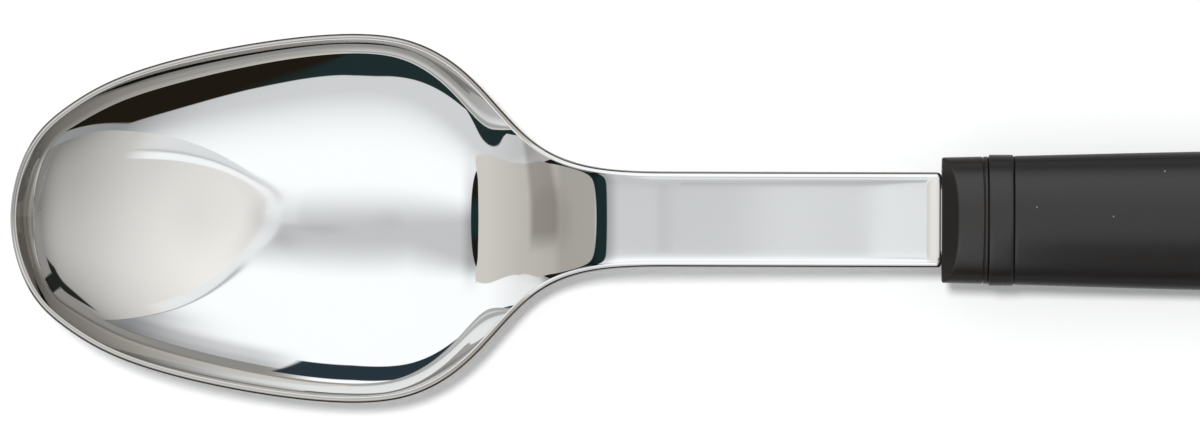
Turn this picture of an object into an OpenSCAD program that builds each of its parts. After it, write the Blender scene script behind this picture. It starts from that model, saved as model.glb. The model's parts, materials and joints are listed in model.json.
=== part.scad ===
// Serving spoon. A pressed steel bowl, neck and stem end in a hidden tang. The tang passes a collar
// and a band and is pinned in a rigid core, under a grip sleeve closed by an end cap with a hanging hole.
// The spoon is drawn along +X from the tip of its bowl, with the middle of the stem's thickness at z = 0.
// It is then tilted about Y and lifted, so that it rests on the bowl's belly and on the grip's underside.

/* [Bowl] */
// Length from the tip to the start of the straight stem
bowl_len = 105.5; // [85:0.5:130]
// Greatest width over the rim
bowl_w = 66; // [50:1:80]
// Depth of the hollow below its rim at the widest place
bowl_depth = 12.4; // [7:0.1:16]
// How far the rim hangs below the top of the stem at the widest place
rim_drop = 8; // [4:0.1:11]
// Width of the land round the hollow
rim_w = 1.1; // [0.8:0.1:1.5]
// Height of the rim's outer edge
rim_t = 0.9; // [0.7:0.1:1.4]
// How far the land falls from the hollow to its outer edge
rim_fall = 0.3; // [0.1:0.1:0.5]

/* [Stem] */
// Length of the straight stem in front of the collar
stem_len = 61; // [35:1:90]
// Width of the stem
stem_w = 17.1; // [13:0.1:20]
// Thickness of the stem
stem_t = 2; // [1.6:0.1:3]
// Radius of the two corners where the stem meets the collar
stem_corner_r = 1; // [0.5:0.1:2]

/* [Tang] */
// Length of the tang behind the stem
tang_len = 95; // [70:1:100]
// Width of the tang
tang_w = 11; // [8:0.5:12]
// Thickness of the tang
tang_t = 1.8; // [1.4:0.1:2.4]
// Diameter of the two pins through core and tang
pin_d = 3; // [2:0.1:4]
// From the front of the core to the first pin
pin_inset = 20; // [12:1:24]
// Distance between the pins
pin_pitch = 35; // [20:1:40]

/* [Collar and band] */
// Length of the collar
collar_len = 8.3; // [6:0.1:12]
// Width of the collar at the stem
collar_w = 22.4; // [20:0.1:26]
// Width of the collar at the band
collar_back_w = 22.8; // [20:0.1:26]
// Height of the collar
collar_h = 13.4; // [11:0.1:16]
// Height above the middle at which the collar's front starts to lean back
lean_start = 1.3; // [1.1:0.1:2]
// Angle by which the upper front of the collar leans back
lean_angle = 28; // [15:1:40]
// Length of the band
band_len = 4.5; // [3:0.1:8]
// Width of the band
band_w = 23.4; // [21:0.1:28]
// Height of the band
band_h = 14.2; // [12:0.1:18]
// Rounding of the edges of collar, band and sleeve
edge_r = 0.35; // [0.2:0.05:0.6]

/* [Grip] */
// Length of the grip with its end cap
grip_len = 125.7; // [110:0.1:160]
// Width of the grip at the band
grip_front_w = 23; // [21:0.1:26]
// Greatest width of the grip
grip_w = 25.8; // [24:0.1:34]
// Height of the grip at the band
grip_front_h = 13.8; // [12:0.1:17]
// Greatest height of the grip
grip_h = 16.4; // [14:0.1:22]
// From the band to the widest place of the grip
swell_len = 75; // [50:1:85]
// Width of the rigid core
core_w = 17; // [14:0.5:18]
// Height of the rigid core
core_h = 7.6; // [6:0.1:9]
// Length of the end cap that shows
cap_len = 22; // [20:0.5:24]
// Length of the spigot that the end cap has inside the sleeve
spigot_len = 6; // [4:0.5:10]

/* [Hanging hole] */
// Diameter of the hanging hole
hole_d = 8; // [5:0.5:9]
// From the centre of the hole to the end of the grip
hole_inset = 12; // [10.5:0.5:13]
// Height of the grip at the hole
end_h = 12; // [10:0.1:14]
// Length of the hole between its two flat seats
hole_len = 9; // [6:0.1:9.5]
// Width of the flat seat round the hole
seat_w = 2.2; // [1:0.1:2.4]

/* [Fit] */
// Gap between a piece and the pocket that holds it
fit_gap = 0.1; // [0.05:0.01:0.2]

/* [Hidden] */
$fn = 64;

// Extra length of a cut past the face that it opens, and of the tang inside the stem
overrun = 1;
// Stations in one span of the bowl's curve, and places across half of the bowl
span_steps = 5;
half_steps = 8;
// Places round the handle, and stations along the sleeve and the end cap
round_steps = 48;
sleeve_steps = 12;
cap_steps = 12;
// Power of the rounded section of the handle and of its round end in plan and from the side
section_power = 2.4;
plan_power = 2.2;
side_power = 3;
// Length over which the handle's end is rounded in plan and from the side
plan_round = 19;
side_round = 12;

// Guide points of the bowl from tip to stem. Each row has shares of the bowl's length, of half the
// bowl's width, of half the stem's width, of the rim's drop and of the bowl's depth. The first row
// mirrors the third, so that the tip is round.
guide_shares = [
    [0.026, -0.415, 0, 0.83, 1.32],
    [-0.013, 0, 0, 0.82, 1.32],
    [0.026, 0.415, 0, 0.83, 1.32],
    [0.086, 0.59, 0, 0.85, 1.31],
    [0.168, 0.755, 0, 0.88, 1.29],
    [0.289, 0.875, 0, 0.92, 1.21],
    [0.423, 0.96, 0, 0.96, 1.08],
    [0.556, 1.01, 0, 1, 1],
    [0.673, 0.995, 0, 1.02, 1],
    [0.763, 0.84, 0, 0.99, 1.1],
    [0.828, 0.605, 0, 1.03, 1.15],
    [0.888, 0.265, 0.5, 1.18, 0.7],
    [0.962, 0.057, 0.9, 0.66, 0],
    [1.044, 0, 1, 0.05, 0],
    [1.13, 0, 1, 0, 0],
    [1.216, 0, 1, 0, 0]
];
// How upright the wall is where it meets the rim: a smaller share makes it more upright
wall_share = 0.09;

stem_end = bowl_len + stem_len;
band_x = stem_end + collar_len;
grip_x = band_x + band_len;
handle_end = grip_x + grip_len;
cap_x = handle_end - cap_len;
hole_x = handle_end - hole_inset;
tang_end = stem_end + tang_len;
core_end = cap_x - spigot_len - fit_gap;
depth_scale = bowl_depth / (sqrt(1 + wall_share) - sqrt(wall_share));

// Uniform cubic B-spline through the guide points, and its direction of travel
guide = [for (row = guide_shares) [
    row[0] * bowl_len,
    row[1] * bowl_w / 2 + row[2] * stem_w / 2,
    rim_t + row[2] * (stem_t - rim_t),
    stem_t / 2 - row[3] * rim_drop,
    row[4] * depth_scale
]];
spans = len(guide) - 3;
function point_weights(u) = [(1 - u) ^ 3, 3 * u ^ 3 - 6 * u ^ 2 + 4, -3 * u ^ 3 + 3 * u ^ 2 + 3 * u + 1, u ^ 3] / 6;
function travel_weights(u) = [-(1 - u) ^ 2, 3 * u ^ 2 - 4 * u, -3 * u ^ 2 + 2 * u + 1, u ^ 2] / 2;
function four_rows(i) = [guide[i], guide[i + 1], guide[i + 2], guide[i + 3]];

// A station holds the outer x and half width, the inner x and half width, edge height, rim z and depth
function bowl_station(t) =
    let (i = min(floor(t), spans - 1), p = point_weights(t - i) * four_rows(i))
    let (d = travel_weights(t - i) * four_rows(i), step = norm([d[0], d[1]]))
    [p[0], p[1], p[0] + rim_w * d[1] / step, p[1] - rim_w * d[0] / step, p[2], p[3], p[4]];
function stem_station(x, w) = [x, w, x, w - rim_w, stem_t, stem_t / 2, 0];
stations = concat(
    [for (step = [0 : spans * span_steps]) bowl_station(step / span_steps)],
    [for (a = [0 : 30 : 90]) stem_station(
        stem_end + stem_corner_r * (sin(a) - 1), stem_w / 2 + stem_corner_r * (cos(a) - 1))]
);

// Depth below the rim at the share s of the half width w, where the bowl's scale is d
function sink(s, w, d) = d * (sqrt(wall_share + (1 - s ^ 2) * (2 * w / bowl_w) ^ 2) - sqrt(wall_share));
function edge_point(st, side) = [st[0], side * st[1], st[5] - rim_fall];
function inner_point(st, s) = [st[2], s * st[3], st[5] - sink(s, st[3], st[6])];
function outer_point(st, s) = [st[0], s * st[1], st[5] - st[4] - sink(s, st[1], st[6])];
across = [for (i = [-half_steps : half_steps]) sin(90 * i / half_steps)];
function blank_ring(st) = concat(
    [edge_point(st, -1)],
    [for (s = across) inner_point(st, s)],
    [edge_point(st, 1)],
    [for (s = across) outer_point(st, -s)]
);

// Half width and half height of the grip at x: a swell behind the band, then a thinner, rounded end
function eased(u) = u < 1 ? u * (3 - u ^ 2) / 2 : 1;
function smooth(u) = u < 0 ? 0 : u > 1 ? 1 : u ^ 2 * (3 - 2 * u);
function rounded(x, length, power) =
    let (u = min(1, max(0, (x - handle_end + length) / length))) (1 - u ^ power) ^ (1 / power);
function grip_half_w(x) = (grip_front_w + (grip_w - grip_front_w) * eased((x - grip_x) / swell_len)) / 2
    * rounded(x, plan_round, plan_power);
function grip_full_h(x) = grip_front_h + (grip_h - grip_front_h) * eased((x - grip_x) / swell_len)
    - (grip_h - end_h) * smooth((x - grip_x - swell_len) / (hole_x - grip_x - swell_len));
function grip_half_h(x) = grip_full_h(x) / 2 * rounded(x, side_round, side_power);

// Rounded section of the handle at x, from -Y over the top
function signed_power(v, p) = sign(v) * abs(v) ^ p;
function section(x, half_w, half_h) = [for (i = [0 : round_steps - 1]) let (a = 360 * i / round_steps)
    [x, -half_w * signed_power(cos(a), 2 / section_power), half_h * signed_power(sin(a), 2 / section_power)]];
function grip_section(x) = section(x, grip_half_w(x), grip_half_h(x));

// Skin over rings of equal counts. A ring whose points fall together becomes a pole. An open ring is
// closed by strips between its upper and its lower half.
function first_same(ring, j) = [for (k = [0 : j]) if (ring[k] == ring[j]) k][0];
function ring_ids(rings, i) = let (n = len(rings[i])) [for (j = [0 : n - 1]) i * n + first_same(rings[i], j)];
function whole(face) = face[0] != face[1] && face[1] != face[2] && face[2] != face[0];
function side_faces(lower, upper) = let (n = len(lower)) [for (j = [0 : n - 1]) let (k = (j + 1) % n)
    each [[lower[j], lower[k], upper[k]], [lower[j], upper[k], upper[j]]]];
function end_faces(ids) = let (n = len(ids)) [for (j = [0 : n / 2 - 1]) let (k = (n - j) % n)
    each [[ids[j], ids[j + 1], ids[n - j - 1]], [ids[j], ids[n - j - 1], ids[k]]]];
function flipped(faces) = [for (face = faces) [face[2], face[1], face[0]]];
function open_ring(ring) = ring[0] != ring[len(ring) / 2];

module skin(rings) {
    ids = [for (i = [0 : len(rings) - 1]) ring_ids(rings, i)];
    last = len(rings) - 1;
    sides = [for (i = [0 : last - 1]) each side_faces(ids[i], ids[i + 1])];
    front = open_ring(rings[0]) ? flipped(end_faces(ids[0])) : [];
    back = open_ring(rings[last]) ? end_faces(ids[last]) : [];
    faces = [for (face = concat(sides, front, back)) if (whole(face)) face];
    polyhedron([for (ring = rings) each ring], faces, convexity = 6);
}

// Rest on a flat surface: the steepest line under the belly that also touches the grip's underside
grip_stations = [for (i = [0 : round_steps]) grip_x + grip_len * sin(90 * i / round_steps)];
belly = [for (st = stations) let (p = outer_point(st, 0)) [p[0], p[2]]];
underside = [for (x = grip_stations) [x, -grip_half_h(x)]];
tilt = atan(max([for (p = belly) min([for (q = underside) (q[1] - p[1]) / (q[0] - p[0])])]));
function tilted_x(p) = p[0] * cos(tilt) + p[1] * sin(tilt);
function tilted_z(p) = p[1] * cos(tilt) - p[0] * sin(tilt);
lift = -min([for (p = belly) tilted_z(p)]);
middle_x = (min([for (p = belly) tilted_x(p)]) + max([for (p = underside) tilted_x([p[0], -p[1]])])) / 2;

module at_rest() {
    translate([-middle_x, 0, lift]) rotate([0, tilt, 0]) children();
}

// Flat bar with a round far end, lying along X with its thickness centred on z = 0
module round_bar(x, end_x, width, height) {
    translate([0, 0, -height / 2]) linear_extrude(height) {
        translate([x, -width / 2]) square([end_x - width / 2 - x, width]);
        translate([end_x - width / 2, 0]) circle(d = width);
    }
}

// Bar with half-round sides from x to end_x, in the shape of the core
module core_bar(x, end_x, gap) {
    height = core_h + 2 * gap;
    width = core_w + 2 * gap;
    translate([x, 0, 0]) rotate([90, 0, 90]) linear_extrude(end_x - x) {
        translate([(height - width) / 2, -height / 2]) square([width - height, height]);
        for (side = [-1, 1]) translate([side * (width - height) / 2, 0]) circle(d = height);
    }
}

module pin_bars(diameter, height) {
    for (i = [0, 1]) translate([grip_x + pin_inset + i * pin_pitch, 0, -height / 2])
        cylinder(h = height, d = diameter);
}

module tang_slot(x) {
    round_bar(x, tang_end + fit_gap, tang_w + 2 * fit_gap, tang_t + 2 * fit_gap);
}

// Bowl, neck and stem in one skin, with the tang let into the end of the stem
module spoon_blank() {
    color([0.8, 0.81, 0.82]) at_rest() difference() {
        union() {
            skin([for (st = stations) blank_ring(st)]);
            round_bar(stem_end - overrun, tang_end, tang_w, tang_t);
        }
        pin_bars(pin_d + 2 * fit_gap, stem_t + 2 * overrun);
    }
}

// Collar with a front face that leans back above the stem
module front_collar() {
    color([0.19, 0.18, 0.17]) at_rest() difference() {
        skin([
            section(stem_end, collar_w / 2 - edge_r, collar_h / 2 - edge_r),
            section(stem_end + edge_r, collar_w / 2, collar_h / 2),
            section(band_x - edge_r, collar_back_w / 2, collar_h / 2),
            section(band_x, collar_back_w / 2 - edge_r, collar_h / 2 - edge_r)
        ]);
        translate([stem_end, -collar_w, lean_start]) rotate([0, lean_angle, 0])
            translate([-collar_len, 0, 0]) cube([collar_len, 2 * collar_w, collar_h]);
        tang_slot(stem_end - overrun);
    }
}

// Band between collar and grip, a little proud of both
module band_ring() {
    color([0.22, 0.21, 0.2]) at_rest() difference() {
        skin([
            section(band_x, band_w / 2 - edge_r, band_h / 2 - edge_r),
            section(band_x + edge_r, band_w / 2, band_h / 2),
            section(grip_x - edge_r, band_w / 2, band_h / 2),
            section(grip_x, band_w / 2 - edge_r, band_h / 2 - edge_r)
        ]);
        tang_slot(band_x - overrun);
    }
}

// Two steel pins through core and tang
module tang_pins() {
    color([0.7, 0.7, 0.72]) at_rest() pin_bars(pin_d, core_h);
}

// Rigid core, slotted for the tang and drilled for the pins
module grip_core() {
    color([0.3, 0.3, 0.32]) at_rest() difference() {
        core_bar(grip_x, core_end, 0);
        tang_slot(grip_x - overrun);
        pin_bars(pin_d + 2 * fit_gap, core_h + 2 * overrun);
    }
}

// Grip sleeve round the core and the spigot of the end cap
module grip_sleeve() {
    color([0.21, 0.2, 0.19]) at_rest() difference() {
        skin(concat(
            [section(grip_x, grip_front_w / 2 - edge_r, grip_front_h / 2 - edge_r)],
            [for (i = [0 : sleeve_steps]) grip_section(
                grip_x + edge_r + (cap_x - grip_x - 2 * edge_r) * i / sleeve_steps)],
            [section(cap_x, grip_half_w(cap_x) - edge_r, grip_half_h(cap_x) - edge_r)]
        ));
        core_bar(grip_x - overrun, cap_x + overrun, fit_gap);
    }
}

// End cap with its spigot and the hanging hole between two flat seats
module end_cap() {
    seat_d = hole_d + 2 * seat_w;
    color([0.2, 0.19, 0.18]) at_rest() difference() {
        union() {
            skin(concat(
                [section(cap_x, grip_half_w(cap_x) - edge_r, grip_half_h(cap_x) - edge_r)],
                [for (i = [0 : cap_steps]) grip_section(
                    handle_end - (cap_len - edge_r) * (1 - sin(90 * i / cap_steps)))]
            ));
            core_bar(cap_x - spigot_len, cap_x + overrun, 0);
        }
        translate([hole_x, 0, -grip_h / 2]) cylinder(h = grip_h, d = hole_d);
        for (side = [0, 1]) mirror([0, 0, side])
            translate([hole_x, 0, hole_len / 2]) cylinder(h = grip_h, d = seat_d);
    }
}

spoon_blank();
front_collar();
band_ring();
tang_pins();
grip_core();
grip_sleeve();
end_cap();
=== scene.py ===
# %% [markdown]
# ## The imported spoon as a frame
# The spoon has already been drawn as exact solids. Loading them first gives us the sizes and the place of
# every piece, so that each finer surface made below can be set exactly where its solid is. The dressed spoon
# is made to stay inside the box of the solids.

# %% Load the frame
import json
import math

import bmesh
import bpy
import numpy as np
from mathutils import Matrix, Vector


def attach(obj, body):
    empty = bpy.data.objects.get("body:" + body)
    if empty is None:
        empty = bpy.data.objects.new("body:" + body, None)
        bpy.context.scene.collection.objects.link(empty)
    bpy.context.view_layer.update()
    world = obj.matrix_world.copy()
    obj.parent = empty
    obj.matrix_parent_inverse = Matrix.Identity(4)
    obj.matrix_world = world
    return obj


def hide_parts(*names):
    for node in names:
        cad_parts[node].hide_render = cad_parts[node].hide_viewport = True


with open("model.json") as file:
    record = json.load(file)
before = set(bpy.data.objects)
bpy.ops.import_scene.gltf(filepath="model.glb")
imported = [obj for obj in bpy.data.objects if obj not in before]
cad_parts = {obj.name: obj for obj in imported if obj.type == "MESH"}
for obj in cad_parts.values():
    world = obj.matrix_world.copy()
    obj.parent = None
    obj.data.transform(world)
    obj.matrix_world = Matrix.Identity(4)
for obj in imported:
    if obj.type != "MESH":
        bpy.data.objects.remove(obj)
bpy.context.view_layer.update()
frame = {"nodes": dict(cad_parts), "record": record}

nodes = frame["nodes"]
print("solids:", sorted(nodes))

# %% [markdown]
# ## The spoon's own axes
# A spoon is easiest to describe lying straight: x runs from the tip of the bowl to the end of the grip and
# z = 0 is the middle of the stem. On the table it rests on its belly and on the end of its grip, which
# tilts it a few degrees. We could type the tilt in, but the record already holds the axis and the place of
# the hanging hole, so both are worked out from there and can't drift away from the solids.

# %% Place points of the straight spoon at rest
HOLE_X, INSIDE = 293.0, 0.9999
hole = frame["record"]["mounts"][0]
tilt = math.atan2(hole["axis"][0], hole["axis"][2])
spoon_x = np.array([math.cos(tilt), 0.0, -math.sin(tilt)])
spoon_z = np.array([math.sin(tilt), 0.0, math.cos(tilt)])
origin = np.array(hole["pos_m"]) - spoon_x * HOLE_X / 1000


def at_rest(points):
    """Millimetres on the straight spoon to metres at rest: origin + x along the spoon + y + z. Width and
    height are a ten-thousandth less than written, so that every skin stays inside the box of the solids."""
    p = np.asarray(points, float) / 1000 * (1, INSIDE, INSIDE)
    return origin + p[..., :1] * spoon_x + p[..., 1:2] * np.array([0.0, 1.0, 0.0]) + p[..., 2:] * spoon_z


print(f"tilt {math.degrees(tilt):.3f} degrees, tip at", np.round(at_rest([0, 0, 0]), 5))

# %% [markdown]
# ## One way to make every skin
# Each piece of this spoon is a stack of closed rings, so one helper can make them all. It takes an array of
# rings, joins each point to its neighbours with four-sided faces, melts together the points that fall on
# each other at tips and poles, and turns all faces outwards. A ring of rings, such as a tube with a bore,
# also joins its last ring to its first.

# %% Rings to a mesh
def skin(name, rings, ring_of_rings=False, painted_shade=None):
    """Grid surface. Ring i, point j joins to i + 1 and j + 1, and j always runs round. A painted shade per
    point, where it is given, is kept on the mesh for the material, which darkens the steel by it."""
    count, around = rings.shape[:2]
    i = np.arange(count if ring_of_rings else count - 1)[:, None]
    j = np.arange(around)[None, :]
    here, there = i * around, (i + 1) % count * around
    j_next = (j + 1) % around
    faces = np.stack([here + j, here + j_next, there + j_next, there + j], -1).reshape(-1, 4)
    mesh = bpy.data.meshes.new(name)
    mesh.from_pydata(at_rest(rings).reshape(-1, 3).tolist(), [], faces.tolist())
    # The values given per point are painted shade, which the steel's colour follows.
    if painted_shade is not None:
        mesh.attributes.new("painted_shade", "FLOAT", "POINT").data.foreach_set("value", painted_shade.ravel())
    shell = bmesh.new()
    shell.from_mesh(mesh)
    bmesh.ops.remove_doubles(shell, verts=shell.verts, dist=3e-7)
    bmesh.ops.recalc_face_normals(shell, faces=shell.faces)
    for face in shell.faces:
        face.smooth = True
    shell.to_mesh(mesh)
    open_edges = sum(not edge.is_manifold for edge in shell.edges)
    volume = shell.calc_volume() * 1e9
    shell.free()
    piece = bpy.data.objects.new(name, mesh)
    bpy.context.scene.collection.objects.link(piece)
    print(f"{name}: {len(mesh.polygons)} faces, {volume:.0f} mm3, {open_edges} open edges")
    return piece


def stand_for(piece, node):
    """The piece rides on the one body, and the node's solid is hidden so that the piece is shown in its
    place.
    """
    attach(piece, "root")
    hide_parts(node)
    return piece


# %% [markdown]
# ## The outline of the bowl
# The bowl, neck and stem are pressed from one sheet, and their edge is one flowing line. Sixteen guide
# points and a uniform cubic B-spline give it, the same as in the solids: a spline never kinks, which a
# polished surface would show at once. Each guide point also carries the height of the rim, the thickness
# of the edge and the depth of the hollow, so the whole form changes together.

# %% The flowing line of rim, neck and stem
BOWL_LEN, BOWL_W, BOWL_DEPTH = 105.5, 66.0, 12.4
RIM_DROP, RIM_W, RIM_T, RIM_FALL = 8.0, 1.1, 0.9, 0.3
STEM_END, STEM_W, STEM_T = 166.5, 17.1, 2.0
WALL_SHARE = 0.09
guide_shares = np.array([
    [0.026, -0.415, 0, 0.83, 1.32], [-0.013, 0, 0, 0.82, 1.32], [0.026, 0.415, 0, 0.83, 1.32],
    [0.086, 0.59, 0, 0.85, 1.31], [0.168, 0.755, 0, 0.88, 1.29], [0.289, 0.875, 0, 0.92, 1.21],
    [0.423, 0.96, 0, 0.96, 1.08], [0.556, 1.01, 0, 1, 1], [0.673, 0.995, 0, 1.02, 1],
    [0.763, 0.84, 0, 0.99, 1.1], [0.828, 0.605, 0, 1.03, 1.15], [0.888, 0.265, 0.5, 1.18, 0.7],
    [0.962, 0.057, 0.9, 0.66, 0], [1.044, 0, 1, 0.05, 0], [1.13, 0, 1, 0, 0], [1.216, 0, 1, 0, 0],
])
along, wide, stem, drop, depth = guide_shares.T
depth_scale = BOWL_DEPTH / (math.sqrt(1 + WALL_SHARE) - math.sqrt(WALL_SHARE))
guide = np.stack([
    along * BOWL_LEN, wide * BOWL_W / 2 + stem * STEM_W / 2, stem, STEM_T / 2 - drop * RIM_DROP,
    depth * depth_scale], 1)


def flowing_line(steps):
    """Cubic B-spline: each point is a weighted mean of four guide points, and the inward direction is
    the direction of travel turned by a right angle. Columns: x, half width, stem share, rim height,
    depth, inward x, inward y."""
    spans = len(guide) - 3
    t = np.linspace(0, spans, spans * steps + 1)
    i = np.minimum(t.astype(int), spans - 1)
    u = (t - i)[:, None]
    place = [(1 - u) ** 3, 3 * u**3 - 6 * u**2 + 4, -3 * u**3 + 3 * u**2 + 3 * u + 1, u**3]
    travel = [-((1 - u) ** 2), 3 * u**2 - 4 * u, -3 * u**2 + 2 * u + 1, u**2]
    p = sum(weight * guide[i + k] for k, weight in enumerate(place)) / 6
    d = sum(weight * guide[i + k] for k, weight in enumerate(travel)) / 2
    length = np.hypot(d[:, 0], d[:, 1])
    return np.column_stack([p, d[:, 1] / length, -d[:, 0] / length])


line = flowing_line(steps=20)
print(f"{len(line)} stations, widest {2 * line[:, 1].max():.2f} mm, neck ends at {line[-1, 0]:.1f} mm")

# %% [markdown]
# ## The section of the blank
# Cut across, the bowl is a curved floor with steep walls, and the rim is a small round bead where the cut
# edge of the sheet was tumbled smooth. Further back the same edge becomes the soft shoulder of the flat
# stem. Both edges are drawn with many points close together, because their thin bright and dark lines are
# what tells the eye that this is polished steel and not grey paint.

# %% Rings of the blank
BEAD, SHOULDER, UNDER_ROUND = 0.25, 0.75, 0.6
CROWN, CROWN_POWER = 0.09, 12
across = np.sin(np.linspace(-math.pi / 2, math.pi / 2, 91))
round_share = np.linspace(0, 1, 15)[1:]
corner = np.linspace(0, math.pi / 2, 5)


def sink(s, half_width, scale):
    """Depth of the hollow: scale times (root of wall + (1 - s squared) times local width squared, less
    the root of wall). It is flat in the middle and steep at the rim."""
    local = (2 * half_width / BOWL_W) ** 2
    return scale * (np.sqrt(WALL_SHARE + (1 - s**2) * local) - math.sqrt(WALL_SHARE))


def blank_rings(stations):
    """Top from left to right, then the bead or shoulder, the lower corner, the underside from right to
    left, and the left edge as a mirror of the right one."""
    x, w, stem_share, rim_z, scale, in_x, in_y = (column[:, None] for column in stations.T)
    edge_t = RIM_T + stem_share * (STEM_T - RIM_T)
    under_r = 0.12 + stem_share * (UNDER_ROUND - 0.12)

    def point(inset, s, z):
        s = s + 0 * x
        return np.stack([x + inset * in_x + 0 * s, s * (w + inset * in_y), z + 0 * s], -1)

    inner_w = w + RIM_W * in_y
    crown = CROWN * stem_share
    top_z = rim_z - sink(across, inner_w, scale) - crown * np.abs(across) ** CROWN_POWER
    top = point(RIM_W, across[None, :], top_z)
    out = (1 - np.cos(math.pi * round_share)) / 2
    bead = BEAD * np.sin(math.pi * round_share) - RIM_FALL * out
    shoulder = -SHOULDER * (1 - np.sqrt(1 - out**2))
    edge_z = rim_z - crown + (1 - stem_share) * bead + stem_share * shoulder
    edge = [point(RIM_W * (1 - out), side + 0 * out, edge_z) for side in (1, -1)]
    corner_z = rim_z - edge_t + under_r * (1 - np.sin(corner))
    low = [point(under_r * (1 - np.cos(corner)), side + 0 * corner, corner_z) for side in (1, -1)]
    under_w = w + under_r * in_y
    under = point(under_r, across[None, -2:0:-1], rim_z - edge_t - sink(across[-2:0:-1], under_w, scale))
    return np.concatenate([top, edge[0], low[0], under, low[1][:, ::-1], edge[1][:, ::-1]], 1)


bowl_and_neck = blank_rings(line)
print("ring of the blank:", bowl_and_neck.shape[1], "points")

# %% [markdown]
# ## Painted shade on the steel
# The steel's colour is darkened in the crease inside the rim, on the cut edge, on the steep wall and in the
# bend of the neck. This is painted shade, which stands for the dark lines and bands that the room mirrors
# there. How dark each point is could be painted by hand. Here it is worked out from the form and kept on the
# mesh, so it follows the form if a size changes.

# %% Painted shade on the steep wall
# Shares of painted shade along the bowl, for the upper and the lower wall.
WALL_X = (0.0, 20.0, 40.0, 55.0, 78.0, 90.0)
UPPER_WALL, LOWER_WALL = (0.6, 0.5, 0.54, 0.56, 0.5, 0.0), (0.72, 0.5, 0.12, 0.0, 0.0, 0.0)
STEEP_FROM, STEEP_RANGE = 43, 5


def wall_painted_shade(stations):
    """Painted shade on the steep wall below the rim, standing for the dark wall that it mirrors. The slope is
    the arc tangent of the fall per millimetre, taken along and across the bowl, and the painted shade is full
    where it is steeper than about 48 degrees."""
    x, y, z = np.moveaxis(blank_rings(stations)[:, :len(across)], -1, 0)
    x_step, y_drift, z_drift = (np.gradient(part, axis=0) for part in (x, y, z))
    fall_y = np.gradient(z, axis=1) / np.maximum(np.gradient(y, axis=1), 1e-5)
    fall_x = (z_drift - fall_y * y_drift) / np.maximum(x_step, 1e-3)
    steep = np.degrees(np.arctan(np.hypot(fall_x, fall_y)))
    upper_wall, lower_wall = (np.interp(x, WALL_X, share) for share in (UPPER_WALL, LOWER_WALL))
    wall = np.where(across[None, :] > 0, upper_wall, lower_wall)
    return wall * np.clip((steep - STEEP_FROM) / STEEP_RANGE, 0, 1)


print("wall dullness up to", round(float(wall_painted_shade(line).max()), 2))

# %% Painted shade in the crease, the neck and on the edge
# Painted shade: dark lines in the crease and on the edge, and painted bands across the neck and in its bend.
CREASE_W, CREASE_SHADE = 0.16, 0.2
EDGE_SHADE, LINE_SHADE, LINE_IN = 0.15, 0.55, 0.42
CUT_SHADE, CUT_SHARE, CUT_FADE, TIP_LEN = 0.85, 0.58, 0.16, 4.0
NECK_X, NECK_SHADE = (86.0, 92.0, 97.5, 99.0, 104.6, 105.4), (0.0, 0.2, 0.3, 0.46, 0.44, 0.0)
BEND_X, BEND_SHADE, BEND_ARC = (93.4, 94.2, 97.8, 98.9), (0.0, 0.34, 0.32, 0.0), 1.4
BEND_SIDE, BEND_FADE = -0.5, 0.3


def blank_painted_shade(stations):
    """Painted shade in the point order of the blank, standing for dark lines and bands in the reflections.
    Crease: a bell, e to the minus square of the distance over its width. Neck: painted shade along x, and a
    curved band of it in the bend that fades toward the lower side. Edge: an even share, a bell for the line
    inside the rim, and a step for the cut edge, which fades out at the tip."""
    x, w, stem_share = (column[:, None] for column in stations.T[:3])
    out = (1 - np.cos(math.pi * round_share)) / 2
    inside = (1 - np.abs(across)) * w
    crease = CREASE_SHADE * np.exp(-((inside / CREASE_W) ** 2)) * (1 - stem_share)
    upper = np.clip((across[None, :] - BEND_SIDE) / BEND_FADE, 0, 1)
    bend = upper * np.interp(x + BEND_ARC * across**2, BEND_X, BEND_SHADE)
    neck = np.interp(x, NECK_X, NECK_SHADE) + bend
    top = np.maximum(np.maximum(crease, neck), wall_painted_shade(stations))
    edge = EDGE_SHADE + LINE_SHADE * np.exp(-(((out * RIM_W - LINE_IN) / CREASE_W) ** 2))
    at_tip = np.clip(x / TIP_LEN, 0, 1)
    edge = edge * (1 - stem_share) + CUT_SHADE * np.clip((out - CUT_SHARE) / CUT_FADE, 0, 1) * at_tip
    low = at_tip * np.linspace(1, 0, len(corner))
    under = np.zeros((len(x), len(across) - 2))
    return np.concatenate([top, edge, low, under, low[:, ::-1], edge[:, ::-1]], 1)


print("dullness on the line: mean", round(float(blank_painted_shade(line).mean()), 3))

# %% [markdown]
# ## Stem end and tang
# At the collar the stem stops with rounded corners and only a narrower tang goes on into the handle. The
# tang is never seen, but it is part of the same sheet, so its rings follow in the same stack and the blank
# stays one closed skin.

# %% Rings of the stem, its end and the tang
CORNER_R, END_ROUND = 1.0, 0.4
TANG_END, TANG_W, TANG_T = 261.5, 11.0, 1.8

stem_x = np.linspace(line[-1, 0], STEM_END - CORNER_R, 26)[1:]
stem_rows = np.repeat(line[-1:], len(stem_x), 0)
stem_rows[:, 0] = stem_x
turn = np.linspace(0, math.pi / 2, 10)[1:]
end_rows = np.repeat(line[-1:], len(turn), 0)
end_rows[:, 0] = STEM_END - CORNER_R * (1 - np.sin(turn))
end_rows[:, 1] -= CORNER_R * (1 - np.cos(turn))
stem_stations = np.concatenate([stem_rows, end_rows])
stem_rings = blank_rings(stem_stations)
stem_rings[len(stem_rows):, :, 2] *= (1 - END_ROUND * (1 - np.cos(turn)))[:, None]


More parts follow.
